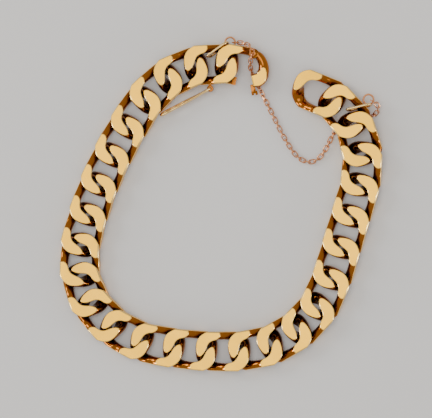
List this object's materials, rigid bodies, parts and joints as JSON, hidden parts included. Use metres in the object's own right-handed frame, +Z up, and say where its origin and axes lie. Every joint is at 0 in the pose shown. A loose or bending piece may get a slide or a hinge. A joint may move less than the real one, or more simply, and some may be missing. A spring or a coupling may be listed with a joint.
{
  "type": "bracelet",
  "caption": "Flat curb-link bracelet lying open, with a hinged clasp link, a figure-eight safety catch and a fine safety chain between two jump rings.",
  "frame": {"origin": "centre of the bracelet's outline, on the surface that it lies on", "axes": "+Z up from the surface, +Y away from the viewer at the top of the picture, +X to its right"},
  "size_m": [0.0756, 0.078, 0.0047],
  "materials": {
    "gold": "satin, ground flat above, polished at the sides",
    "pale_gold": "polished",
    "rose_gold": "polished"
  },
  "bodies": {
    "root": {"clasp_link": "gold", "link_02": "gold", "link_03": "gold", "link_04": "gold", "link_05": "gold", "link_06": "gold", "link_07": "gold", "link_08": "gold", "link_09": "gold", "link_10": "gold", "link_11": "gold", "link_12": "gold", "link_13": "gold", "link_14": "gold", "link_15": "gold", "link_16": "gold", "link_17": "gold", "link_18": "gold", "link_19": "gold", "link_20": "gold", "link_21": "gold", "link_22": "gold", "link_23": "gold", "link_24": "gold", "link_25": "gold", "link_26": "gold", "link_27": "gold", "ring_left": "pale_gold", "ring_right": "pale_gold", "safety_chain": "rose_gold"},
    "gate": {"clasp_gate": "gold"},
    "catch": {"safety_catch": "pale_gold"}
  },
  "joints": [
    {"name": "gate_hinge", "type": "hinge", "parent": "root", "child": "gate", "pos_m": [0.00795, 0.03497, 0.00165], "axis": [0.0944, -0.0166, 0.9954], "range_deg": [-22, 3]},
    {"name": "catch_hinge", "type": "hinge", "parent": "root", "child": "catch", "pos_m": [-0.00232, 0.02687, 0.00175], "axis": [0, 0, 1], "range_deg": [-1, 130]}
  ]
}
